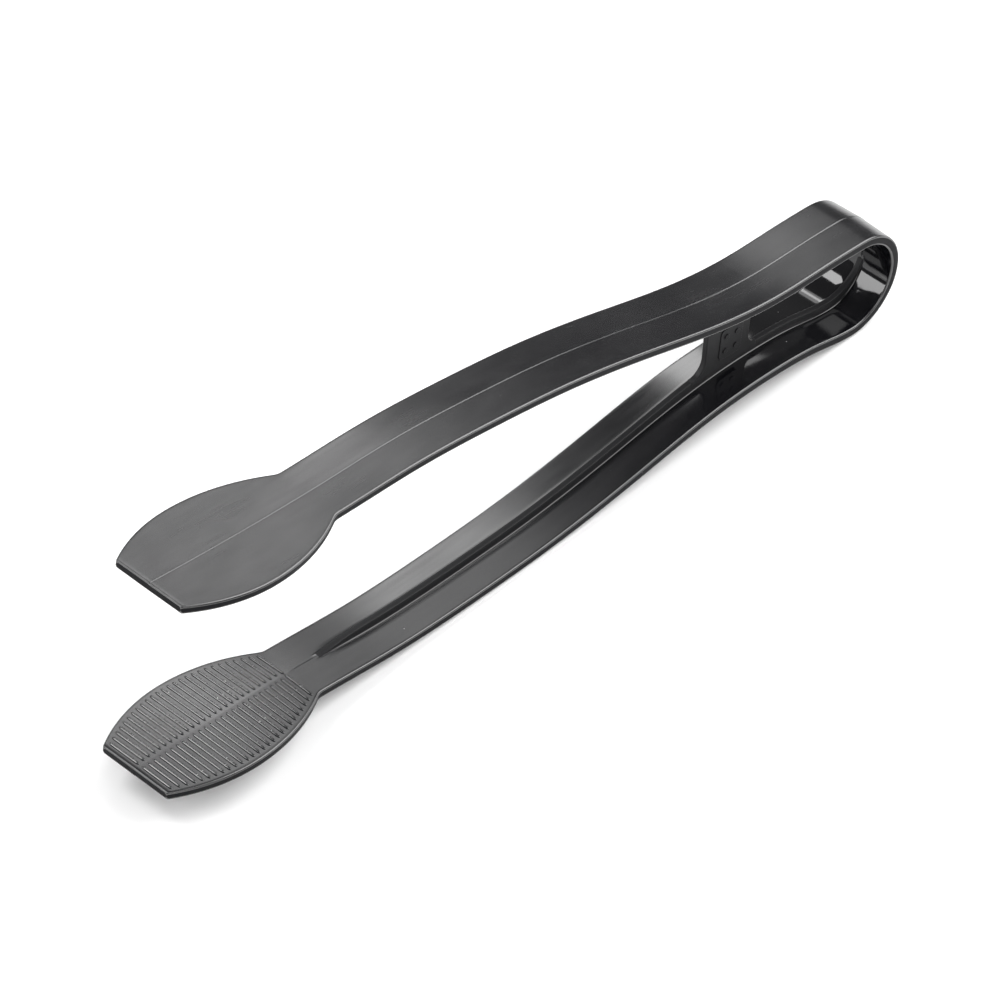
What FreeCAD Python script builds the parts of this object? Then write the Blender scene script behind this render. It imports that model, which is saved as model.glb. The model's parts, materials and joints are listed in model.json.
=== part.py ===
import FreeCAD, Part
import math
import os

# Spring-loaded kitchen tongs moulded in one piece of glossy black plastic.
#
# The moulding is divided at its working zones: the spring loop, the heel strips beside it,
# the two arms, the two blades, the stiffening ribs, the stop web and the grip ridges.
# Every curved outline is laid out in the side plane of the tongs, as x along the tongs from
# the spring loop's centre towards the blunt tips and z away from the plane between the arms.
# In the finished frame the tips point along -X, the width is Y and the tongs lie on z = 0.

V = FreeCAD.Vector

# Driving dimensions, in millimetres and degrees
OVERALL_LENGTH = 229.0
HANDLE_WIDTH = 17.4
LOOP_RADIUS = 12.4              # middle of the strip, round the spring loop
LOOP_DROP = 0.55                # the loop's centre lies this far below the plane between the arms
THICKNESS_AT_LOOP = 2.4         # along the strip's edges
THICKNESS_AT_TIP = 2.0
CROWN = 0.35                    # each face is proud by this much along the parting line
TIP_SLOPE = 0.05                # the blades curl away from each other by this slope at their ends

# Middle of the arm's strip: distance from the loop's centre, half of the gap between the arms
ARM_STATIONS = [
    (12.0, 11.6),
    (26.0, 11.05),
    (45.0, 12.5),
    (70.0, 17.4),
    (95.0, 21.9),
    (120.0, 24.4),
    (145.0, 25.5),
    (165.0, 24.85),
    (183.0, 24.7),
    (200.0, 25.05),
    (217.0, 25.8),
]

HEEL_END = 52.0                 # the arm flexes in front of this station
NECK = 169.2                    # corner between handle and blade
BLADE_WIDEST = 194.0
BLADE_WIDTH = 31.0
BLADE_END_WIDTH = 19.6

RIB_THICKNESS = 1.4
HEEL_RIB_HEIGHT = 2.3
ARM_RIB_HEIGHT = 2.0
RIB_RUNOUT_START = 146.0
RIB_RUNOUT_END = 161.0
LOOP_RIB_MIDDLE = (-48, 0.7)    # angle round the loop, share of the heel rib's height left there
LOOP_RIB_END = -6               # angle where it has faded out

WEB_REAR = 27.4
WEB_FRONT_AT_BASE = 40.0
WEB_FRONT_AT_TOP = 42.0
WEB_TOP = 3.6                   # height above the plane between the arms
WEB_FRONT_FILLET = 4.0
WEB_REAR_FILLET = 3.0
WEB_CORNER = 1.0

PAD_PROUD = 0.25
PAD_LENGTH = 7.2
PAD_HEIGHT = 8.4
PAD_CENTRE = (33.8, -2.6)
PAD_CORNER = 1.2
BAR_COUNT = 3
BAR_LENGTH = 4.8
BAR_HEIGHT = 1.0
BAR_PITCH = 2.4

RIDGE_COUNT = 27
RIDGE_WIDTH = 0.7
RIDGE_HEIGHT = 0.35
RIDGE_MARGIN = 1.3              # plain rim between the ridges' ends and the blade's outline
RIDGE_CENTRE_GAP = 0.5          # half of the break at the parting line
FIRST_RIDGE = 171.0             # nearest to the neck, straight across without a break
LAST_RIDGE_TO_END = 1.7

EMBED = 0.5                     # raised features start this deep inside, then are trimmed flush
SPLINE_POINTS = 14

TIP = OVERALL_LENGTH - LOOP_RADIUS - THICKNESS_AT_LOOP / 2 - CROWN
UPPER = 1
LOWER = -1


def arm_curve(side):
    """Middle line of one arm, as seen from the plane between the arms."""
    stations = [(0.0, LOOP_RADIUS - side * LOOP_DROP)] + ARM_STATIONS
    curve = Part.BSplineCurve()
    curve.interpolate(
        Points=[V(x, 0, half_gap) for x, half_gap in stations],
        Parameters=[x for x, half_gap in stations],
        InitialTangent=V(1, 0, 0),
        FinalTangent=V(1, 0, TIP_SLOPE),
    )
    return curve


CURVES = {side: arm_curve(side) for side in (UPPER, LOWER)}


def half_thickness(x):
    """Half of the strip's thickness along its edges."""
    share = max(x, 0.0) / TIP
    return (THICKNESS_AT_LOOP + (THICKNESS_AT_TIP - THICKNESS_AT_LOOP) * share) / 2


def crown(x):
    """Extra height of each face at the parting line, running out towards the tip."""
    share = max(0.0, (x - NECK) / (TIP - NECK))
    return CROWN * (1 - 0.8 * share)


def crest(x):
    return half_thickness(x) + crown(x)


def point(side, x, offset, y):
    """Point at a station of an arm, offset outwards from the strip's middle line."""
    middle = CURVES[side].value(x)
    along = CURVES[side].tangent(x)[0]
    return V(-(middle.x - along.z * offset), y, side * (middle.z + along.x * offset))


def spread(start, end, count):
    return [start + (end - start) * i / (count - 1) for i in range(count)]


def spline(points):
    curve = Part.BSplineCurve()
    curve.interpolate(points)
    return curve.toShape()


def profile(side, start, end, inner, outer, y):
    """Closed side outline of a strip between two stations, in the plane at y."""
    stations = spread(start, end, SPLINE_POINTS)
    far = [point(side, x, outer(x), y) for x in stations]
    near = [point(side, x, inner(x), y) for x in stations]
    edges = [
        spline(far),
        Part.makeLine(far[-1], near[-1]),
        spline(near),
        Part.makeLine(near[0], far[0]),
    ]
    return Part.Wire(Part.__sortEdges__(edges))


def crowned_strip(side, start, end, half_width, inner=None, outer=None, edge_inner=None, edge_outer=None):
    """Strip whose faces fall away from the parting line, one drafted half on each side of it."""
    inner = inner or (lambda x: -crest(x))
    outer = outer or crest
    edge_inner = edge_inner or (lambda x: -half_thickness(x))
    edge_outer = edge_outer or half_thickness
    middle = profile(side, start, end, inner, outer, 0)
    halves = []
    for y in (-half_width, half_width):
        edge = profile(side, start, end, edge_inner, edge_outer, y)
        halves.append(Part.makeLoft([middle, edge], True, True))
    return halves[0].fuse(halves[1])


def slab(wire, half_depth):
    """Plate of a side outline, as thick as twice half_depth, centred on the parting plane."""
    face = Part.Face(wire)
    face.translate(V(0, -half_depth, 0))
    return face.extrude(V(0, 2 * half_depth, 0))


def loop_point(angle, radius, y):
    """Point on the spring loop: angle 90 is straight up, 0 is its back, -90 straight down."""
    turn = math.radians(angle)
    return V(radius * math.cos(turn), y, radius * math.sin(turn) - LOOP_DROP)


def loop_wire(start, end, inner, outer, y):
    middle = (start + end) / 2
    outer_arc = Part.Arc(*[loop_point(a, outer, y) for a in (start, middle, end)])
    inner_arc = Part.Arc(*[loop_point(a, inner, y) for a in (start, middle, end)])
    edges = [
        outer_arc.toShape(),
        Part.makeLine(loop_point(end, outer, y), loop_point(end, inner, y)),
        inner_arc.toShape(),
        Part.makeLine(loop_point(start, inner, y), loop_point(start, outer, y)),
    ]
    return Part.Wire(Part.__sortEdges__(edges))


def spring_loop(side):
    """Quarter of the round spring loop, from the back to where the heel strip begins."""
    half = THICKNESS_AT_LOOP / 2
    start, end = (0, 90) if side == UPPER else (-90, 0)
    middle = loop_wire(start, end, LOOP_RADIUS - half - CROWN, LOOP_RADIUS + half + CROWN, 0)
    halves = []
    for y in (-HANDLE_WIDTH / 2, HANDLE_WIDTH / 2):
        edge = loop_wire(start, end, LOOP_RADIUS - half, LOOP_RADIUS + half, y)
        halves.append(Part.makeLoft([middle, edge], True, True))
    return halves[0].fuse(halves[1])


def loop_rib(loop):
    """The heel rib carried on round the lower loop, fading out before the loop's back."""
    surface = LOOP_RADIUS - THICKNESS_AT_LOOP / 2 - CROWN
    middle, share = LOOP_RIB_MIDDLE
    foot, end = -90, LOOP_RIB_END
    top = Part.Arc(
        loop_point(foot, surface - HEEL_RIB_HEIGHT, 0),
        loop_point(middle, surface - share * HEEL_RIB_HEIGHT, 0),
        loop_point(end, surface, 0),
    )
    buried = Part.Arc(*[loop_point(a, surface + EMBED, 0) for a in (foot, middle, end)])
    edges = [
        top.toShape(),
        Part.makeLine(loop_point(end, surface, 0), loop_point(end, surface + EMBED, 0)),
        buried.toShape(),
        Part.makeLine(loop_point(foot, surface + EMBED, 0), loop_point(foot, surface - HEEL_RIB_HEIGHT, 0)),
    ]
    return slab(Part.Wire(Part.__sortEdges__(edges)), RIB_THICKNESS / 2).cut(loop)


def rib(side, start, end, height, strip):
    """Central stiffening rib on an arm's inner face, trimmed flush to the strip below it."""
    wire = profile(side, start, end, lambda x: -crest(x) - height(x), lambda x: EMBED - crest(x), 0)
    return slab(wire, RIB_THICKNESS / 2).cut(strip)


def arm_rib_height(x):
    """Full height along the arm, running down to a point behind the neck."""
    share = max(0.0, (x - RIB_RUNOUT_START) / (RIB_RUNOUT_END - RIB_RUNOUT_START))
    return ARM_RIB_HEIGHT * (1 - share ** 2)


def stop_web(strip, heel_rib):
    """Upright plate on the lower heel that limits the squeeze and stiffens the heel."""
    rear_foot = point(LOWER, WEB_REAR - WEB_REAR_FILLET, -crest(WEB_REAR) - HEEL_RIB_HEIGHT, 0)
    front_station = WEB_FRONT_AT_BASE + WEB_FRONT_FILLET + 1.0
    front_foot = point(LOWER, front_station, -crest(front_station) - HEEL_RIB_HEIGHT, 0)
    rear_rise = rear_foot + V(-WEB_REAR_FILLET, 0, WEB_REAR_FILLET)
    front_rise = front_foot + V(WEB_FRONT_FILLET, 0, WEB_FRONT_FILLET)
    top_rear = V(-WEB_REAR, 0, WEB_TOP)
    top_front = V(-WEB_FRONT_AT_TOP, 0, WEB_TOP)
    diagonal = 1 - math.sqrt(0.5)
    rear_arc = Part.Arc(
        rear_foot,
        rear_rise + V(WEB_REAR_FILLET * diagonal, 0, WEB_REAR_FILLET * (diagonal - 1)),
        rear_rise,
    )
    front_arc = Part.Arc(
        front_rise,
        front_rise + V(-WEB_FRONT_FILLET * diagonal, 0, WEB_FRONT_FILLET * (diagonal - 1)),
        front_foot,
    )
    below_front = V(front_foot.x, 0, front_foot.z - HEEL_RIB_HEIGHT - EMBED)
    below_rear = V(rear_foot.x, 0, rear_foot.z - HEEL_RIB_HEIGHT - EMBED)
    edges = [
        rear_arc.toShape(),
        Part.makeLine(rear_rise, top_rear),
        Part.makeLine(top_rear, top_front),
        Part.makeLine(top_front, front_rise),
        front_arc.toShape(),
        Part.makeLine(front_foot, below_front),
        Part.makeLine(below_front, below_rear),
        Part.makeLine(below_rear, rear_foot),
    ]
    plate = slab(Part.Wire(Part.__sortEdges__(edges)), RIB_THICKNESS / 2)
    corners = [
        edge
        for edge in plate.Edges
        if len(edge.Vertexes) == 2
        and abs(edge.Vertexes[0].Z - WEB_TOP) < 0.01
        and abs(edge.Vertexes[1].Z - WEB_TOP) < 0.01
        and abs(edge.Vertexes[0].X - edge.Vertexes[1].X) < 0.01
    ]
    trimmed = plate.makeFillet(WEB_CORNER, corners).cut(strip).cut(heel_rib)
    return max(trimmed.Solids, key=lambda solid: solid.Volume)


def web_pad():
    """Plain raised pad with bars on the near face of the stop web."""
    near = -RIB_THICKNESS / 2
    x, z = PAD_CENTRE
    low = V(-x - PAD_LENGTH / 2, near - PAD_PROUD, z - PAD_HEIGHT / 2)
    pad = Part.makeBox(PAD_LENGTH, PAD_PROUD, PAD_HEIGHT, low)
    upright = [e for e in pad.Edges if abs(e.Vertexes[0].Y - e.Vertexes[1].Y) > PAD_PROUD / 2]
    pad = pad.makeFillet(PAD_CORNER, upright)
    reach = BAR_PITCH * (BAR_COUNT - 1) / 2
    for height in spread(z - reach, z + reach, BAR_COUNT):
        corner = V(-x - BAR_LENGTH / 2, near - 2 * PAD_PROUD, height - BAR_HEIGHT / 2)
        pad = pad.fuse(Part.makeBox(BAR_LENGTH, PAD_PROUD, BAR_HEIGHT, corner))
    return pad


def blade_outline(inset):
    """Plan outline of a blade: two arcs a side, meeting at its widest, and a straight blunt end."""
    widest = BLADE_WIDTH / 2 - inset
    ends = ((NECK, HANDLE_WIDTH / 2 - inset), (TIP - inset, BLADE_END_WIDTH / 2 - inset / 2))

    def arc_middle(station, half_width):
        drop = widest - half_width
        radius = ((station - BLADE_WIDEST) ** 2 + drop ** 2) / (2 * drop)
        x = (station + BLADE_WIDEST) / 2
        return x, widest - radius + math.sqrt(radius ** 2 - (x - BLADE_WIDEST) ** 2)

    edges = []
    for y_sign in (-1, 1):
        crown_point = V(-BLADE_WIDEST, y_sign * widest, 0)
        for station, half_width in ends:
            x, y = arc_middle(station, half_width)
            edges.append(Part.Arc(
                V(-station, y_sign * half_width, 0),
                V(-x, y_sign * y, 0),
                crown_point,
            ).toShape())
    for station, half_width in ends:
        edges.append(Part.makeLine(V(-station, -half_width, 0), V(-station, half_width, 0)))
    return Part.Face(Part.Wire(Part.__sortEdges__(edges)))


def upright_prism(face):
    tall = 4 * LOOP_RADIUS
    lifted = face.copy()
    lifted.translate(V(0, 0, -tall))
    return lifted.extrude(V(0, 0, 2 * tall))


def blade(side):
    plate = crowned_strip(side, NECK - 1, TIP + 1, BLADE_WIDTH / 2 + 1)
    return plate.common(upright_prism(blade_outline(0)))


def ridges(side, y_sign, plate):
    """One half of the grip ridges, from the parting line to the plain rim, one solid each."""
    layer = crowned_strip(
        side, NECK, TIP, BLADE_WIDTH / 2 + 1,
        inner=lambda x: -crest(x) - RIDGE_HEIGHT,
        outer=lambda x: EMBED - crest(x),
        edge_inner=lambda x: -half_thickness(x) - RIDGE_HEIGHT,
        edge_outer=lambda x: EMBED - half_thickness(x),
    )
    layer = layer.common(upright_prism(blade_outline(RIDGE_MARGIN)))
    bars = []
    tall = 4 * LOOP_RADIUS
    for number, x in enumerate(spread(FIRST_RIDGE, TIP - LAST_RIDGE_TO_END, RIDGE_COUNT)):
        start = 0.0 if number == 0 else RIDGE_CENTRE_GAP
        y = start if y_sign > 0 else -BLADE_WIDTH / 2
        bars.append(Part.makeBox(
            RIDGE_WIDTH,
            BLADE_WIDTH / 2 - start,
            2 * tall,
            V(-x - RIDGE_WIDTH / 2, y, -tall),
        ))
    solids = []
    for bar in bars:
        solids += bar.common(layer).cut(plate).Solids
    return Part.makeCompound(solids)


def resting_tilt():
    """Angle that brings the lower arm's belly down to the level of the loop's underside."""
    loop_reach = LOOP_RADIUS + THICKNESS_AT_LOOP / 2 + CROWN
    low, high = 0.0, 10.0
    for _ in range(50):
        tilt = (low + high) / 2
        turn = math.radians(tilt)
        below = []
        for x in spread(HEEL_END, TIP, 400):
            outer = point(LOWER, x, crest(x), 0)
            below.append(-(outer.z + LOOP_DROP) * math.cos(turn) + outer.x * math.sin(turn))
        if max(below) > loop_reach:
            low = tilt
        else:
            high = tilt
    return tilt


def build():
    """All pieces of the moulding, by name, in the frame of the plane between the arms."""
    parts = {}
    half_width = HANDLE_WIDTH / 2
    for side, name in ((LOWER, "lower"), (UPPER, "upper")):
        heel = crowned_strip(side, 0, HEEL_END, half_width)
        arm = crowned_strip(side, HEEL_END, NECK, half_width)
        plate = blade(side)
        parts[name + "_spring_loop"] = spring_loop(side)
        parts[name + "_heel_strip"] = heel
        parts[name + "_arm_strip"] = arm
        parts[name + "_arm_rib"] = rib(side, HEEL_END, RIB_RUNOUT_END, arm_rib_height, arm)
        parts[name + "_blade"] = plate
        parts[name + "_far_grip_ridges"] = ridges(side, 1, plate)
        parts[name + "_near_grip_ridges"] = ridges(side, -1, plate)
    lower_heel = parts["lower_heel_strip"]
    heel_rib = rib(LOWER, 0, HEEL_END, lambda x: HEEL_RIB_HEIGHT, lower_heel)
    parts["lower_heel_rib"] = heel_rib
    parts["lower_loop_rib"] = loop_rib(parts["lower_spring_loop"])
    parts["stop_web"] = stop_web(lower_heel, heel_rib)
    parts["web_pad"] = web_pad()
    return parts


def main():
    parts = build()
    tilt = resting_tilt()
    whole = Part.makeCompound(list(parts.values()))
    whole.rotate(V(0, 0, -LOOP_DROP), V(0, 1, 0), tilt)
    box = whole.optimalBoundingBox(True)
    home = V(-(box.XMin + box.XMax) / 2, -(box.YMin + box.YMax) / 2, -box.ZMin)
    os.makedirs("parts", exist_ok=True)
    for name, shape in parts.items():
        shape.rotate(V(0, 0, -LOOP_DROP), V(0, 1, 0), tilt)
        shape.translate(home)
        shape.exportStep("parts/" + name + ".step")
    loop_centre = V(0, 0, -LOOP_DROP) + home
    print("resting tilt", round(tilt, 3))
    print("loop centre", [round(c, 3) for c in loop_centre])


main()
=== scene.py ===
import bmesh
import bpy
import json
import math
import numpy as np
from mathutils import Matrix, Vector


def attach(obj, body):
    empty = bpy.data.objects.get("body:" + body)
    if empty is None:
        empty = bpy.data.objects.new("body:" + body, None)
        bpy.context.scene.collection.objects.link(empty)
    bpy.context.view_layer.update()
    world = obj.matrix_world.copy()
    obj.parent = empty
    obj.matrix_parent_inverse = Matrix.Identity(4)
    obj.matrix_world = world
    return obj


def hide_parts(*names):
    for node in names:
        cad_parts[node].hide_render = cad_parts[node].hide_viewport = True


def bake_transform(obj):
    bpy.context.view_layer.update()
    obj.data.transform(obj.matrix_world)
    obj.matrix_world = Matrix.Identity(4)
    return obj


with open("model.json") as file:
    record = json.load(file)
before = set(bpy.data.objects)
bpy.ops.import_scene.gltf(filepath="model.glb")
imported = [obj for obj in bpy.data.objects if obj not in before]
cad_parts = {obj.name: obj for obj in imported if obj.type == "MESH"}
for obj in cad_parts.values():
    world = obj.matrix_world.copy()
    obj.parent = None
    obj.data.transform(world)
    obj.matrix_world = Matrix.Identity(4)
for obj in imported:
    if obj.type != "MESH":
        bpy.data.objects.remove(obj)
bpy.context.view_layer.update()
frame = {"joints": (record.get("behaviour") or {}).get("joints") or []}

# ---------------------------------------------------------------- dimensions, in millimetres
# The tongs are laid out in their side plane: x from the loop's centre towards the tips, n square
# to the strip and away from the other arm, y across the width with the near side negative.
# place() brings that to the frame.
MM = 0.001
LOOP_RADIUS = 12.4
LOOP_DROP = 0.55
RESTING_TILT = 5.442            # degrees
THICKNESS_AT_LOOP = 2.4
THICKNESS_AT_TIP = 2.0
TIP = 215.05
TIP_SLOPE = 0.05
STATIONS = [                    # x and height of the strip's middle line over the mid plane
    (12.0, 11.6), (26.0, 11.05), (45.0, 12.5), (70.0, 17.4), (95.0, 21.9), (120.0, 24.4),
    (145.0, 25.5), (165.0, 24.85), (183.0, 24.7), (200.0, 25.05), (217.0, 25.8),
]
HANDLE_HALF = 8.7
NECK = 169.2
NECK_ROUNDING = 1.1
WIDEST = 194.0
BLADE_HALF = 15.5
END_HALF = 9.8
EDGE_RADIUS = 0.45
END_RADIUS = 0.4                # rounding of the blade's blunt end

CROWN = 0.35                    # how much prouder the faces are at the parting line
CROWN_LOSS = 0.8                # share of it that is gone at the tip
END_CROWN_LOSS = 0.6            # and over the rounding of the blunt end
PARTING_STEP = 0.09             # the far half of the mould left its half prouder by this much
PARTING_SPREAD = 0.25
INNER_STEP = 0.035              # the same on the inner faces
INNER_SPREAD = 0.1
STEP_FADE = (166.0, 171.0)      # the inner step runs out before the grip ridges

RIB_HALF = 0.7
HEEL_RIB = 2.3
ARM_RIB = 2.0
RIB_LEAN = 0.25                 # the rib's top falls by this much towards the near side
RIB_RUNOUT = (146.0, 161.0)
UPPER_RIB_START = (52.2, 57.2)
HEEL_RIB_FALL = (44.0, 60.0)    # the lower rib goes from the heel's height to the arm's
LOOP_RIB_END = -6.0             # degrees round the loop
LOOP_RIB_CURVE = 1.74

SEAM = 30.0                     # the loop's piece ends here on both arms
LOWER, UPPER = -1, 1
LOOP_CENTRE = Vector([c / MM for c in next(
    joint for joint in frame["joints"] if joint["name"] == "squeeze")["pos_m"]])


def place(x, y, z):
    """From the plane between the arms, in millimetres, to the frame, in metres."""
    turn = math.radians(RESTING_TILT)
    along, up = -x, z + LOOP_DROP
    return (
        (along * math.cos(turn) + up * math.sin(turn) + LOOP_CENTRE.x) * MM,
        y * MM,
        (up * math.cos(turn) - along * math.sin(turn) + LOOP_CENTRE.z) * MM,
    )


def smooth(value):
    share = min(1.0, max(0.0, value))
    return share * share * (3 - 2 * share)


def ramp(value, start, end):
    """0 up to start, 1 from end, smooth between them."""
    return smooth((value - start) / (end - start))


def steps(start, end, size):
    """Even places from start to end, about size apart."""
    count = max(2, int(round(abs(end - start) / size)) + 1)
    return list(np.linspace(start, end, count))


class Arm:
    """Middle line of one arm's strip: a clamped cubic spline through its stations."""

    def __init__(self, side):
        self.side = side
        points = [(0.0, LOOP_RADIUS - side * LOOP_DROP)] + STATIONS
        self.x = np.array([p[0] for p in points])
        self.z = np.array([p[1] for p in points])
        step = np.diff(self.x)
        rise = np.diff(self.z) / step
        count = len(self.x)
        matrix = np.zeros((count, count))
        right = np.zeros(count)
        matrix[0, 0], matrix[0, 1] = 2 * step[0], step[0]
        right[0] = 6 * rise[0]
        for i in range(1, count - 1):
            matrix[i, i - 1:i + 2] = step[i - 1], 2 * (step[i - 1] + step[i]), step[i]
            right[i] = 6 * (rise[i] - rise[i - 1])
        matrix[-1, -2], matrix[-1, -1] = step[-1], 2 * step[-1]
        right[-1] = 6 * (TIP_SLOPE - rise[-1])
        self.bend = np.linalg.solve(matrix, right)

    def at(self, x):
        """Height and slope at a station."""
        i = int(np.clip(np.searchsorted(self.x, x) - 1, 0, len(self.x) - 2))
        step = self.x[i + 1] - self.x[i]
        a, b = (self.x[i + 1] - x) / step, (x - self.x[i]) / step
        z = a * self.z[i] + b * self.z[i + 1]
        z += ((a ** 3 - a) * self.bend[i] + (b ** 3 - b) * self.bend[i + 1]) * step ** 2 / 6
        slope = (self.z[i + 1] - self.z[i]) / step
        slope += ((3 * b * b - 1) * self.bend[i + 1] - (3 * a * a - 1) * self.bend[i]) * step / 6
        return z, slope

    def axes(self, x):
        """Middle of the strip and outward direction, in the side plane."""
        z, slope = self.at(x)
        length = math.hypot(1.0, slope)
        return (x, self.side * z), (-slope / length, self.side / length)


ARMS = {side: Arm(side) for side in (LOWER, UPPER)}


def loop_axes(angle):
    """The same on the spring loop: -90 is straight below its centre, 0 its back, 90 above."""
    turn = math.radians(angle)
    outward = (-math.cos(turn), math.sin(turn))
    return (LOOP_RADIUS * outward[0], LOOP_RADIUS * outward[1] - LOOP_DROP), outward


def half_thickness(x):
    share = max(x, 0.0) / TIP
    return (THICKNESS_AT_LOOP + (THICKNESS_AT_TIP - THICKNESS_AT_LOOP) * share) / 2


def crown(x):
    return CROWN * (1 - CROWN_LOSS * max(0.0, (x - NECK) / (TIP - NECK)))


def half_width(x):
    """Half of the plan width: a straight handle, then two arcs that meet at the widest station."""
    station, half = (NECK, HANDLE_HALF) if x < WIDEST else (TIP, END_HALF)
    drop = BLADE_HALF - half
    radius = ((station - WIDEST) ** 2 + drop ** 2) / (2 * drop)
    if x > NECK + NECK_ROUNDING:
        return BLADE_HALF - radius + math.sqrt(max(0.0, radius ** 2 - (x - WIDEST) ** 2))
    if x < NECK - NECK_ROUNDING:
        return HANDLE_HALF
    slope = (WIDEST - NECK) / (radius - drop)
    return HANDLE_HALF + slope * (x - NECK + NECK_ROUNDING) ** 2 / (4 * NECK_ROUNDING)


def rib_height(side, x):
    share = max(0.0, (x - RIB_RUNOUT[0]) / (RIB_RUNOUT[1] - RIB_RUNOUT[0]))
    if share >= 1.0:
        return 0.0
    if side == UPPER:
        full = ARM_RIB * ramp(x, *UPPER_RIB_START)
    else:
        full = HEEL_RIB + (ARM_RIB - HEEL_RIB) * ramp(x, *HEEL_RIB_FALL)
    return full * (1 - share ** 2)


def loop_rib_height(angle):
    share = (angle + 90.0) / (LOOP_RIB_END + 90.0)
    return HEEL_RIB * (1 - share ** LOOP_RIB_CURVE) if share < 1.0 else 0.0


# ---------------------------------------------------------------- cross-sections
# Half of the rib's outline, from its foot to its top: distance from the parting line in
# millimetres, and share of the rib's height
RIB_SHAPE = [
    (1.25, 0.0), (1.02, 0.035), (0.86, 0.12), (0.76, 0.24), (0.71, 0.4), (0.7, 0.6), (0.69, 0.84),
    (0.65, 0.93), (0.56, 0.98), (0.42, 1.0), (0.2, 1.0), (0.1, 1.0),
]
FACE_SHARES = [0.16, 0.33, 0.5, 0.67, 0.84, 0.96]       # points across half of a face
CORNER_ANGLES = [90, 72, 54, 36, 18, 0]
STEP_PLACES = [-0.75, -0.4, -0.25, -0.15, -0.05, 0.05, 0.15, 0.25, 0.4, 0.75]
BRIGHT_STEPS = 3                                        # stretches that make the parting line, given the painted highlight
MATT_RIB_HEIGHT = 0.2                                   # a lower rib looks like the inner face; a taller one takes the matt look with partly painted light
MATT_RIB_SHARE = 0.1
OUTER, INNER, SIDE, EDGE, RIB = range(5)    # looks, in the order of a swept piece's materials


def section(axes, wide, thick, rise, rib, inner_step=INNER_STEP, cut=0.0):
    """Closed cross-section of the strip, as points in the frame. cut rounds off the blunt end."""
    (mx, mz), (nx, nz) = axes
    wide -= cut
    thick -= cut
    edge = wide - EDGE_RADIUS
    rise *= 1 - min(1.0, cut / END_RADIUS) * END_CROWN_LOSS

    def face(y, step, spread):
        lower = step * (1 - ramp(y, -spread, spread))
        return thick + (rise - lower) * (1 - abs(y) / edge)

    shares = [share * edge for share in FACE_SHARES]
    across = [-y for y in reversed(shares)] + STEP_PLACES + shares
    outer = [(y, face(y, PARTING_STEP, PARTING_SPREAD)) for y in across]
    corner = [
        (edge + EDGE_RADIUS * math.cos(math.radians(a)),
         thick - EDGE_RADIUS + EDGE_RADIUS * math.sin(math.radians(a)))
        for a in CORNER_ANGLES
    ]
    across = [(y, 0.0) for y in reversed(shares[1:])] + RIB_SHAPE + [(0.0, 1.0)]
    across += [(-y, share) for y, share in reversed(across[:-1])]
    inner = []
    for y, share in across:
        lean = RIB_LEAN * min(1.0, rib) * (RIB_HALF - y) / (2 * RIB_HALF)
        inner.append((y, -face(y, inner_step, INNER_SPREAD) - max(0.0, rib - lean) * share))
    ring = outer + corner + [(y, -n) for y, n in reversed(corner)] + inner
    ring += [(-y, -n) for y, n in corner] + [(-y, n) for y, n in reversed(corner)]
    return [place(mx + nx * n, y, mz + nz * n) for y, n in ring]


def section_looks(rib):
    """The look of each stretch of a section, in the same order as its points."""
    # rounded edges and the parting line take the painted highlight, flat sides the painted shade,
    # taller ribs the matt look with partly painted light
    corner = [EDGE] * (len(CORNER_ANGLES) - 1)
    side = corner + [SIDE] + corner
    face = [OUTER] * (len(FACE_SHARES) + (len(STEP_PLACES) - BRIGHT_STEPS - 1) // 2)
    inner = [INNER] * len(FACE_SHARES)
    for _, share in RIB_SHAPE:
        on_rib = rib > MATT_RIB_HEIGHT and share > MATT_RIB_SHARE
        inner.append(RIB if on_rib else INNER)
    outer = face + [EDGE] * BRIGHT_STEPS + face
    return outer + [OUTER] + side + inner + inner[::-1] + side + [OUTER]


def strip_section(side, x, cut=0.0):
    rib = rib_height(side, x)
    inner_step = INNER_STEP * (1 - ramp(x, *STEP_FADE))
    ring = section(ARMS[side].axes(x), half_width(x), half_thickness(x), crown(x), rib,
                   inner_step, cut)
    return ring, section_looks(rib)


def loop_section(angle):
    rib = loop_rib_height(angle)
    ring = section(loop_axes(angle), HANDLE_HALF, half_thickness(0), CROWN, rib)
    return ring, section_looks(rib)


# ---------------------------------------------------------------- meshes
def mesh_object(name, vertices, faces, materials, looks=None, sharp=40):
    """Smooth closed piece with its edges sharper than an angle kept, and its faces outward."""
    mesh = bpy.data.meshes.new(name)
    mesh.from_pydata(vertices, [], faces)
    for material in materials:
        mesh.materials.append(material)
    if looks is not None:
        mesh.polygons.foreach_set("material_index", looks)
    mesh.validate()
    mesh.shade_smooth()
    mesh.set_sharp_from_angle(angle=math.radians(sharp))
    piece = bpy.data.objects.new(name, mesh)
    bpy.context.scene.collection.objects.link(piece)
    work = bmesh.new()
    work.from_mesh(mesh)
    bmesh.ops.recalc_face_normals(work, faces=work.faces)
    work.to_mesh(mesh)
    work.free()
    return piece


def swept_faces(first, rows, count):
    """Faces of a sweep through rings of count points, from vertex first, then its two ends."""
    last = first + (rows - 1) * count
    faces = []
    for base in range(first, last, count):
        for i in range(count):
            j = (i + 1) % count
            faces.append((base + i, base + j, base + count + j, base + count + i))
    faces.append(tuple(range(first, first + count))[::-1])
    faces.append(tuple(range(last, last + count)))
    return faces


def skin(name, rows):
    """Closed piece through a row of cross-sections, each with its looks."""
    vertices = [point for ring, _ in rows for point in ring]
    looks = [look for _, ring_looks in rows[:-1] for look in ring_looks] + [SIDE, SIDE]
    faces = swept_faces(0, len(rows), len(rows[0][0]))
    # materials in look order: outer, inner, painted shade, painted highlight, matt with partly
    # painted light
    return mesh_object(name, vertices, faces, [SATIN, GLOSS, PAINTED_SHADE, PAINTED_HIGHLIGHT, MATT_PAINTED_LIGHT], looks)


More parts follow.
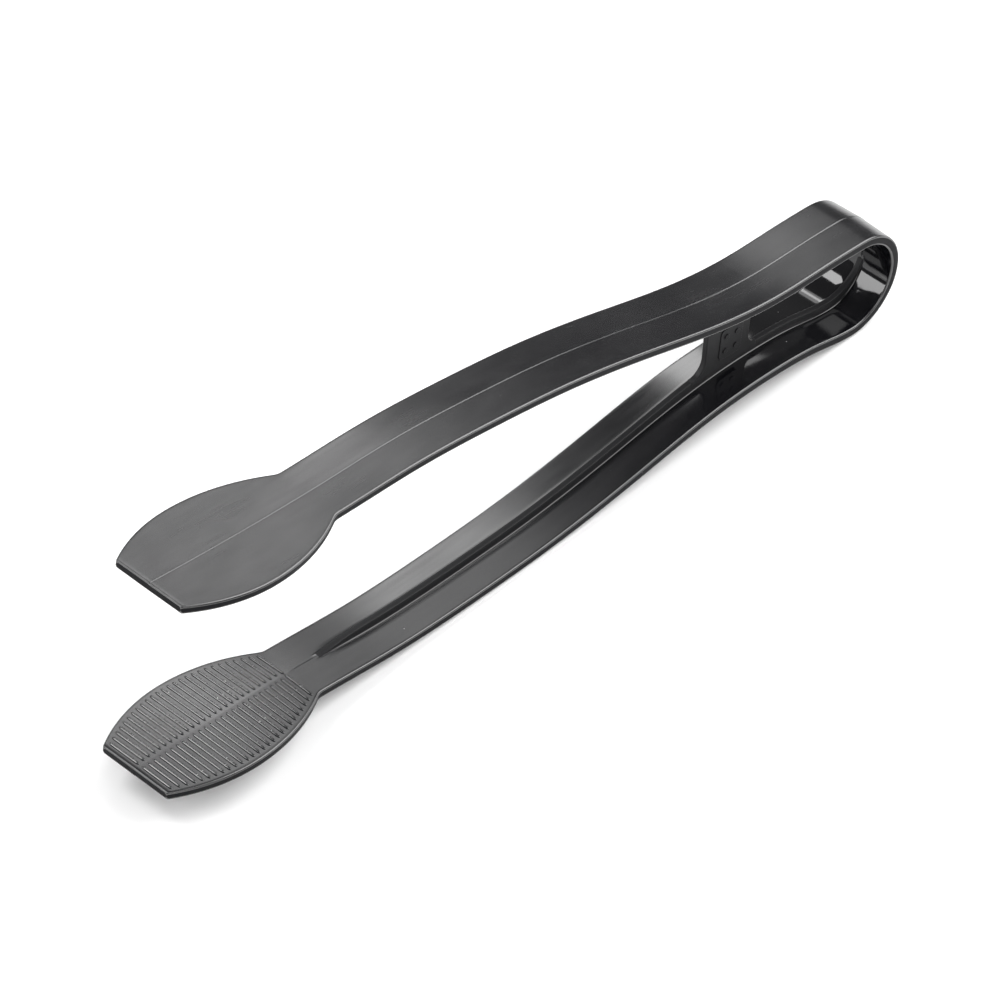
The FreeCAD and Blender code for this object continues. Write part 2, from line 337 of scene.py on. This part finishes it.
# ---------------------------------------------------------------- materials
NOISE_RANGE = (0.3, 0.7)        # where nearly all of a noise's values lie
STREAK_RANGE = (0.35, 0.65)
WAVE_SCALE, GRAIN_SCALE, STREAK_SCALE, DUST_SCALE = 60.0, 1500.0, 900.0, 420.0
WAVE_STRETCH = (0.6, 1.4, 1.4)
STREAK_STRETCH = (0.04, 1.0, 1.0)
WAVE_DEPTH, STREAK_DEPTH, GRAIN_DEPTH = 0.001, 0.00004, 0.00002     # metres
BLUE_TINT = 0.001
UNEVEN_ROUGHNESS = 0.1          # share by which the waves change the roughness
STREAK_ROUGHNESS = 0.015
POLISH_RANGE = (0.025, 0.07)    # the frame's X over which the gloss grows towards the loop
DUST_SIZE = 0.07
DUST_GREY = 0.32
DUST_ROUGHNESS = 0.6
PLASTIC_IOR = 1.54


def nodes_of(name):
    material = bpy.data.materials.new(name)
    material.use_nodes = True
    tree = material.node_tree
    return material, tree, tree.nodes["Principled BSDF"]


def noise(tree, coordinates, scale, detail, roughness, stretch=(1, 1, 1)):
    mapping = tree.nodes.new("ShaderNodeMapping")
    mapping.inputs["Scale"].default_value = stretch
    tree.links.new(coordinates, mapping.inputs["Vector"])
    node = tree.nodes.new("ShaderNodeTexNoise")
    node.inputs["Scale"].default_value = scale
    node.inputs["Detail"].default_value = detail
    node.inputs["Roughness"].default_value = roughness
    tree.links.new(mapping.outputs["Vector"], node.inputs["Vector"])
    return node.outputs["Fac"]


def span(tree, value, from_range, to_low, to_high):
    node = tree.nodes.new("ShaderNodeMapRange")
    node.inputs["From Min"].default_value, node.inputs["From Max"].default_value = from_range
    node.inputs["To Min"].default_value = to_low
    node.inputs["To Max"].default_value = to_high
    tree.links.new(value, node.inputs["Value"])
    return node.outputs["Result"]


def math_node(tree, operation, *values):
    node = tree.nodes.new("ShaderNodeMath")
    node.operation = operation
    for socket, value in zip(node.inputs, values):
        if isinstance(value, float):
            socket.default_value = value
        else:
            tree.links.new(value, socket)
    return node.outputs["Value"]


def mix_colour(tree, factor, below, above):
    """Colour mix; either colour may be a plain grey or another node's output."""
    node = tree.nodes.new("ShaderNodeMix")
    node.data_type = "RGBA"
    tree.links.new(factor, node.inputs["Factor"])
    for socket, colour in (("A", below), ("B", above)):
        if isinstance(colour, tuple):
            node.inputs[socket].default_value = (*colour, 1)
        else:
            tree.links.new(colour, node.inputs[socket])
    return node.outputs["Result"]


def bump(tree, height, distance, strength, below=None):
    node = tree.nodes.new("ShaderNodeBump")
    node.inputs["Distance"].default_value = distance
    node.inputs["Strength"].default_value = strength
    tree.links.new(height, node.inputs["Height"])
    if below is not None:
        tree.links.new(below, node.inputs["Normal"])
    return node.outputs["Normal"]


def specks(tree, coordinates, scale, size, share):
    """Sparse dust: 1 inside a speck, 0 elsewhere. share is how many cells have one."""
    cells = tree.nodes.new("ShaderNodeTexVoronoi")
    cells.inputs["Scale"].default_value = scale
    tree.links.new(coordinates, cells.inputs["Vector"])
    near = span(tree, cells.outputs["Distance"], (size, size * 0.4), 0.0, 1.0)
    split = tree.nodes.new("ShaderNodeSeparateColor")
    tree.links.new(cells.outputs["Color"], split.inputs["Color"])
    chosen = math_node(tree, "LESS_THAN", split.outputs["Red"], share)
    return math_node(tree, "MULTIPLY", near, chosen)


def black_plastic(name, dark, light, rough, wave, grain, streak, dust, specular=0.5,
                  polished=None):
    """Moulded black plastic: slow waves from the mould, fine grain, flow streaks and dust.

    dark and light are its two greys, wave, grain and streak the strengths of the bumps, and
    polished the roughness that it reaches at the loop, where it has been rubbed smooth."""
    material, tree, shader = nodes_of(name)
    coordinates = tree.nodes.new("ShaderNodeTexCoord").outputs["Object"]
    slow = noise(tree, coordinates, WAVE_SCALE, 2.0, 0.5, WAVE_STRETCH)
    fine = noise(tree, coordinates, GRAIN_SCALE, 3.0, 0.6)
    lines = noise(tree, coordinates, STREAK_SCALE, 3.0, 0.55, STREAK_STRETCH)
    dirt = specks(tree, coordinates, DUST_SCALE, DUST_SIZE, dust)

    clean = mix_colour(tree, span(tree, slow, NOISE_RANGE, 0.0, 1.0),
                       (dark, dark, dark + BLUE_TINT), (light, light, light + BLUE_TINT))
    colour = mix_colour(tree, dirt, clean, (DUST_GREY, DUST_GREY, DUST_GREY))
    tree.links.new(colour, shader.inputs["Base Color"])

    if polished is None:
        roughness = span(tree, slow, NOISE_RANGE,
                         rough * (1 - UNEVEN_ROUGHNESS), rough * (1 + UNEVEN_ROUGHNESS))
    else:
        split = tree.nodes.new("ShaderNodeSeparateXYZ")
        tree.links.new(coordinates, split.inputs["Vector"])
        level = span(tree, split.outputs["X"], POLISH_RANGE, rough, polished)
        uneven = span(tree, slow, NOISE_RANGE, -UNEVEN_ROUGHNESS, UNEVEN_ROUGHNESS)
        roughness = math_node(tree, "MULTIPLY_ADD", uneven, level, level)
    streaks = span(tree, lines, STREAK_RANGE, -STREAK_ROUGHNESS, STREAK_ROUGHNESS)
    roughness = math_node(tree, "ADD", roughness, streaks)
    dusty = math_node(tree, "MULTIPLY", dirt, DUST_ROUGHNESS)
    tree.links.new(math_node(tree, "MAXIMUM", roughness, dusty), shader.inputs["Roughness"])

    normal = bump(tree, slow, WAVE_DEPTH, wave)
    normal = bump(tree, lines, STREAK_DEPTH, streak, normal)
    normal = bump(tree, fine, GRAIN_DEPTH, grain, normal)
    tree.links.new(normal, shader.inputs["Normal"])
    shader.inputs["IOR"].default_value = PLASTIC_IOR
    shader.inputs["Specular IOR Level"].default_value = specular
    return material


# outer faces
SATIN = black_plastic("satin_black_plastic", 0.005, 0.01,
                      rough=0.25, wave=0.16, grain=0.08, streak=0.02, dust=0.02)
# inner faces
GLOSS = black_plastic("gloss_black_plastic", 0.003, 0.006,
                      rough=0.2, wave=0.04, grain=0.05, streak=0.04, dust=0.05, polished=0.07)
# ribs, stop web and pad: a matt finish with a lighter grey that also stands in for the light these
# faces catch, so partly painted light
MATT_PAINTED_LIGHT = black_plastic("matt_painted_light_black_plastic", 0.014, 0.02,
                     rough=0.4, wave=0.05, grain=0.2, streak=0.1, dust=0.02, specular=0.12)
# rounded edges, parting line and the ridges' crests: a copy that reflects far more strongly than
# the plastic, painting bright highlight lines along them (painted highlight)
PAINTED_HIGHLIGHT = black_plastic("painted_highlight_black_plastic", 0.006, 0.011,
                       rough=0.26, wave=0.04, grain=0.2, streak=0.1, dust=0.02, specular=0.9)
# the strip's sides and the ridges' feet: a copy that hardly reflects at all, painting them dark as
# if in shade (painted shade)
PAINTED_SHADE = black_plastic("painted_shade_black_plastic", 0.005, 0.009,
                     rough=0.42, wave=0.05, grain=0.3, streak=0.2, dust=0.02, specular=0.05)


# ---------------------------------------------------------------- the moulding
STRIP_STEP, NECK_STEP, BLADE_STEP = 1.5, 0.25, 0.75
LOOP_STEP = 3.0                 # degrees
NECK_REACH = 2.0
END_ANGLES = (20, 40, 60, 75, 90)


def build_loop():
    """Both heels and the spring loop between them, in one sweep."""
    rows = [strip_section(LOWER, x) for x in steps(SEAM, 0.0, STRIP_STEP)]
    rows += [loop_section(angle) for angle in steps(-90, 90, LOOP_STEP)[1:-1]]
    rows += [strip_section(UPPER, x) for x in steps(0.0, SEAM, STRIP_STEP)]
    piece = skin("spring_loop", rows)
    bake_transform(piece)
    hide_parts("lower_spring_loop", "upper_spring_loop", "lower_loop_rib",
                "lower_heel_strip", "upper_heel_strip", "lower_heel_rib")


def build_arm(side, name):
    """One arm from the seam to the blunt end of its blade."""
    neck_start, neck_end = NECK - NECK_REACH, NECK + NECK_REACH
    stations = steps(SEAM, neck_start, STRIP_STEP)
    stations += steps(neck_start, neck_end, NECK_STEP)[1:]
    stations += steps(neck_end, TIP - END_RADIUS, BLADE_STEP)[1:]
    rows = [strip_section(side, x) for x in stations]
    for angle in END_ANGLES:
        turn = math.radians(angle)
        x = TIP - END_RADIUS + END_RADIUS * math.sin(turn)
        rows.append(strip_section(side, x, END_RADIUS * (1 - math.cos(turn))))
    piece = skin(name + "_arm", rows)
    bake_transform(piece)
    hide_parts(name + "_arm_strip", name + "_arm_rib", name + "_blade")


build_loop()
build_arm(LOWER, "lower")
build_arm(UPPER, "upper")

# ---------------------------------------------------------------- stop web and its pad
WEB_REAR = 27.4
WEB_FRONT = (40.0, 42.0)        # at its base and at its top
WEB_FRONT_FOOT = 1.0
WEB_TOP = 3.6
WEB_ROOT = 3.6                  # how far the outline goes down into the strip
WEB_FILLETS = (3.0, 4.0)        # rear and front
WEB_CORNER = 1.0
WEB_CORNER_SHIFT = 0.1
WEB_FRONT_BEND = 2.0            # the front edge is straight from here over its fillet
WEB_HALF = 0.72
WEB_EDGE = 0.22
PAD_CENTRE = (33.8, -2.6)
PAD_SIZE = (7.2, 8.4)
PAD_CORNER = 1.2
PAD_PROUD = 0.25                # the pad over the web, and the studs over the pad
PAD_EDGE = 0.1
STUD_OFFSETS = [(-1.7, -2.0), (1.7, -2.0), (-1.7, 2.0), (1.7, 2.0)]
STUD_SIZE = 1.5
STUD_CORNER = 0.74
STUD_EDGE = 0.08
SINK = 0.1                      # how far a raised piece goes into what it stands on


def arc(centre, radius, start, end, count=7):
    return [
        (centre[0] + radius * math.cos(math.radians(a)),
         centre[1] + radius * math.sin(math.radians(a)))
        for a in np.linspace(start, end, count)
    ]


def rounded_box(cx, cz, length, height, radius):
    x, z = length / 2 - radius, height / 2 - radius
    outline = []
    for sx, sz, start in ((1, 1, 0), (-1, 1, 90), (-1, -1, 180), (1, -1, 270)):
        outline += arc((cx + sx * x, cz + sz * z), radius, start, start + 90, 6)
    return outline


def rib_top(x):
    """Point on the top of the lower heel's rib, in the side plane."""
    (mx, mz), (nx, nz) = ARMS[LOWER].axes(x)
    reach = -half_thickness(x) - crown(x) - rib_height(LOWER, x)
    return mx + nx * reach, mz + nz * reach


def prism(name, outline, low, high, bevel):
    """Plate of a side outline between two distances from the parting plane, edges rounded."""
    count = len(outline)
    vertices = [place(x, low, z) for x, z in outline] + [place(x, high, z) for x, z in outline]
    faces = [tuple(range(count)), tuple(range(count, 2 * count))[::-1]]
    faces += [(i, (i + 1) % count, count + (i + 1) % count, count + i) for i in range(count)]
    # plates take the matt look, whose lighter grey is partly painted light
    piece = mesh_object(name, vertices, faces, [MATT_PAINTED_LIGHT])
    rounding = piece.modifiers.new("rounded_edges", "BEVEL")
    rounding.width = bevel * MM
    rounding.segments = 3
    rounding.limit_method = "ANGLE"
    rounding.angle_limit = math.radians(50)
    return piece


def build_web():
    rear_fillet, front_fillet = WEB_FILLETS
    rx, rz = rib_top(WEB_REAR - rear_fillet)
    fx, fz = rib_top(WEB_FRONT[0] + front_fillet + WEB_FRONT_FOOT)
    front_rise = (fx - front_fillet, fz + front_fillet)
    lean = (WEB_FRONT[1] - front_rise[0]) / (WEB_TOP - front_rise[1])
    corner_height = WEB_TOP - WEB_CORNER
    outline = [(rx, rz - WEB_ROOT)]
    outline += arc((rx, rz + rear_fillet), rear_fillet, -90, 0)
    outline += arc((WEB_REAR + WEB_CORNER, corner_height), WEB_CORNER, 180, 90, 5)
    outline += arc((WEB_FRONT[1] - WEB_CORNER - WEB_CORNER_SHIFT, corner_height),
                   WEB_CORNER, 90, 10, 5)
    outline.append((front_rise[0] + lean * WEB_FRONT_BEND, front_rise[1] + WEB_FRONT_BEND))
    outline += arc((fx, fz + front_fillet), front_fillet, 180, 270)
    outline.append((fx, fz - WEB_ROOT))
    piece = prism("stop_web", outline, -WEB_HALF, WEB_HALF, WEB_EDGE)
    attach(piece, "heel")
    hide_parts("stop_web")


def build_pad():
    """Plain pad on the near face of the web, with four round studs."""
    cx, cz = PAD_CENTRE
    pad_face = -RIB_HALF - PAD_PROUD
    pad = prism("web_pad", rounded_box(cx, cz, *PAD_SIZE, PAD_CORNER), pad_face,
                -RIB_HALF + SINK, PAD_EDGE)
    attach(pad, "heel")
    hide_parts("web_pad")
    for number, (dx, dz) in enumerate(STUD_OFFSETS):
        outline = rounded_box(cx + dx, cz + dz, STUD_SIZE, STUD_SIZE, STUD_CORNER)
        stud = prism("web_pad_stud_%d" % (number + 1), outline, pad_face - PAD_PROUD,
                     pad_face + SINK, STUD_EDGE)
        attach(stud, "heel")


build_web()
build_pad()

# ---------------------------------------------------------------- grip ridges
RIDGE_COUNT = 27
FIRST_RIDGE = 171.0
LAST_RIDGE = TIP - 1.7
RIDGE_HALF = 0.38
RIDGE_ROOT = -0.25              # how far a ridge goes down into the blade
# Profile over the blade's face, from foot to foot: share of the half width, and height
RIDGE_PROFILE = [(-1.0, -0.06), (-0.75, 0.18), (-0.48, 0.24), (-0.2, 0.29), (0.0, 0.30),
                 (0.2, 0.29), (0.48, 0.24), (0.75, 0.18), (1.0, -0.06)]
# ridge crests take the painted highlight, their roots, feet and undersides the painted shade
RIDGE_LOOKS = (PAINTED_HIGHLIGHT, PAINTED_SHADE)
# the look of each stretch round a ridge: root, foot, six of the crest, foot, root, underside
RIDGE_RING_LOOKS = [1, 1] + [0] * 6 + [1, 1, 1]
# Rounded ends: distance from the end, and share of the full height and width there
RIDGE_TAPER = [(0.0, 0.0), (0.06, 0.3), (0.2, 0.62), (0.4, 0.88), (0.65, 1.0)]
NARROWEST = 0.12
RIDGE_PARTS = 8
RIDGE_MARGIN = 1.25             # left free along the blade's edge
CENTRE_GAP = 0.5                # and beside the parting line
FIRST_CENTRE_GAP = 0.02         # the first ridge goes right across


def add_ridge(side, x, sign, y_start, y_end, vertices, faces, looks):
    """One rounded bar across the half of a blade's inner face that sign names."""
    (mx, mz), (nx, nz) = ARMS[side].axes(x)
    tx, tz = (nz * side, -nx * side)
    edge = half_width(x) - EDGE_RADIUS
    length = y_end - y_start
    stops = RIDGE_TAPER + [(length * i / RIDGE_PARTS, 1.0) for i in range(1, RIDGE_PARTS)]
    stops += [(length - distance, share) for distance, share in reversed(RIDGE_TAPER)]
    first = len(vertices)
    for distance, share in stops:
        y = sign * (y_start + distance)
        surface = half_thickness(x) + crown(x) * (1 - abs(y) / edge)
        wide = RIDGE_HALF * max(share, NARROWEST)
        ring = [(wide * u, height * share if height > 0 else height)
                for u, height in RIDGE_PROFILE]
        for along, height in [(-wide, RIDGE_ROOT)] + ring + [(wide, RIDGE_ROOT)]:
            n = -surface - height
            vertices.append(place(mx + nx * n + tx * along, y, mz + nz * n + tz * along))
    faces += swept_faces(first, len(stops), len(RIDGE_RING_LOOKS))
    looks += RIDGE_RING_LOOKS * (len(stops) - 1) + [1, 1]


def build_ridges(side, name, body, sign, word):
    vertices, faces, looks = [], [], []
    for number, x in enumerate(np.linspace(FIRST_RIDGE, LAST_RIDGE, RIDGE_COUNT)):
        start = FIRST_CENTRE_GAP if number == 0 else CENTRE_GAP
        add_ridge(side, x, sign, start, half_width(x) - RIDGE_MARGIN, vertices, faces, looks)
    piece = mesh_object("%s_%s_ridges" % (name, word), vertices, faces, RIDGE_LOOKS, looks,
                        sharp=30)
    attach(piece, body)
    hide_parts("%s_%s_grip_ridges" % (name, word))


for side, name, body in ((LOWER, "lower", "lower_arm"), (UPPER, "upper", "upper_arm")):
    build_ridges(side, name, body, 1, "far")
    build_ridges(side, name, body, -1, "near")

# ---------------------------------------------------------------- camera
CAMERA_PLACE = Vector((-0.84279, -0.78068, 1.10887))
CAMERA_TARGET = Vector((-0.00952, -0.00392, 0.02))
CAMERA_ROLL = 1.5707            # degrees
camera = bpy.data.objects.new("camera", bpy.data.cameras.new("camera"))
bpy.context.scene.collection.objects.link(camera)
camera.data.lens = 262.86
camera.data.sensor_width = 36.0
camera.data.clip_end = 100.0
aim = (CAMERA_TARGET - CAMERA_PLACE).to_track_quat("-Z", "Y").to_matrix().to_4x4()
camera.matrix_world = (
    Matrix.Translation(CAMERA_PLACE) @ aim @ Matrix.Rotation(math.radians(CAMERA_ROLL), 4, "Z")
)
bpy.context.scene.camera = camera

# ---------------------------------------------------------------- floor and light
FLOOR_HALF = 6.0
FLOOR_GREY = 0.94
WORLD_STRENGTH = 0.17
LIGHT_TARGET = Vector((0.0, 0.0, 0.03))
# name, azimuth and elevation in degrees, distance, width, height, radiance
SOFTBOXES = [
    ("back_softbox_wide", 130.0, 39.5, 2.6, 0.60, 0.92, 2.3),
    ("back_softbox_core", 140.0, 38.5, 2.6, 0.66, 0.32, 4.8),
    ("top_softbox", 60.0, 82.0, 1.1, 0.75, 0.7, 1.4),
    ("right_softbox", 68.0, 42.0, 1.15, 1.25, 1.1, 4.8),
    ("left_softbox_high", 214.0, 51.0, 0.9, 0.30, 0.40, 9.0),
    ("left_softbox_low", 245.0, 26.0, 0.9, 0.26, 0.60, 7.0),
    ("front_softbox", 330.0, 35.0, 1.6, 1.2, 0.9, 2.8),
]


def build_floor():
    corners = [(sx * FLOOR_HALF, sy * FLOOR_HALF, 0)
               for sx, sy in ((-1, -1), (1, -1), (1, 1), (-1, 1))]
    mesh = bpy.data.meshes.new("floor")
    mesh.from_pydata(corners, [], [(0, 1, 2, 3)])
    paper, _, shader = nodes_of("white_paper")
    shader.inputs["Base Color"].default_value = (FLOOR_GREY, FLOOR_GREY, FLOOR_GREY, 1)
    shader.inputs["Roughness"].default_value = 0.7
    shader.inputs["Specular IOR Level"].default_value = 0.2
    mesh.materials.append(paper)
    floor = bpy.data.objects.new("floor", mesh)
    bpy.context.scene.collection.objects.link(floor)


def softbox(name, azimuth, elevation, distance, width, height, radiance):
    """Rectangular light, seen from the object in the given direction."""
    turn, climb = math.radians(azimuth), math.radians(elevation)
    back = Vector((math.sin(turn) * math.cos(climb), -math.cos(turn) * math.cos(climb),
                   math.sin(climb)))
    light = bpy.data.lights.new(name, "AREA")
    light.shape = "RECTANGLE"
    light.size = width
    light.size_y = height
    light.energy = math.pi * width * height * radiance
    box = bpy.data.objects.new(name, light)
    box.location = LIGHT_TARGET + back * distance
    box.rotation_mode = "QUATERNION"
    box.rotation_quaternion = (-back).to_track_quat("-Z", "Y")
    bpy.context.scene.collection.objects.link(box)


build_floor()
world = bpy.data.worlds.new("studio")
bpy.context.scene.world = world
world.use_nodes = True
world.node_tree.nodes["Background"].inputs["Color"].default_value = (1, 1, 1, 1)
world.node_tree.nodes["Background"].inputs["Strength"].default_value = WORLD_STRENGTH
for values in SOFTBOXES:
    softbox(*values)
bpy.context.scene.view_settings.view_transform = "Standard"
